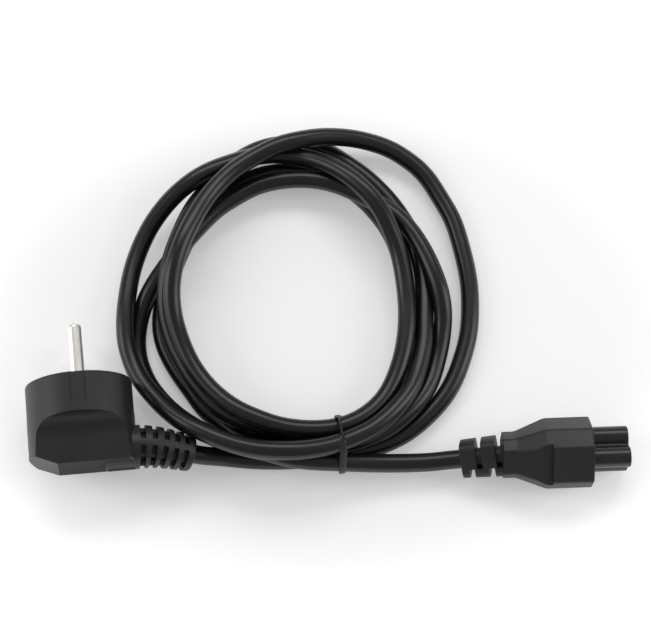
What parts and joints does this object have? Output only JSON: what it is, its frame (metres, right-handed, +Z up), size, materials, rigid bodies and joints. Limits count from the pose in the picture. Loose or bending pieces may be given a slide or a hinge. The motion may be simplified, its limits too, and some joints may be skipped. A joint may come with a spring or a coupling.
{
  "type": "mains power cord",
  "caption": "Black mains lead in a loose tied coil, with an angled earthed round-pin plug on one end and a clover-leaf appliance connector on the other.",
  "frame": {"origin": "on the floor, under the middle of the box around the plug and the connector", "axes": "+Z up from the floor that the cord lies on, +X from the plug toward the connector, +Y toward the side that the plug's pins point to"},
  "size_m": [0.2092, 0.1349, 0.037],
  "materials": {
    "pvc": "moulded soft PVC, satin black with a fine spark-eroded texture",
    "cord": "extruded PVC sheath, black with a soft gloss",
    "nickel": "nickel-plated brass, smooth",
    "tie": "plastic-covered wire strip, matt black"
  },
  "bodies": {
    "root": {"plug_body": "pvc", "plug_pin_upper": "nickel", "plug_pin_lower": "nickel", "plug_earth_clip_left": "nickel", "plug_earth_clip_right": "nickel", "plug_earth_socket": "nickel", "connector_body": "pvc", "connector_contact_line": "nickel", "connector_contact_neutral": "nickel", "connector_contact_earth": "nickel", "cord_coil": "cord", "cord_plug_end": "cord", "cord_connector_end": "cord", "tie": "tie"}
  },
  "joints": []
}
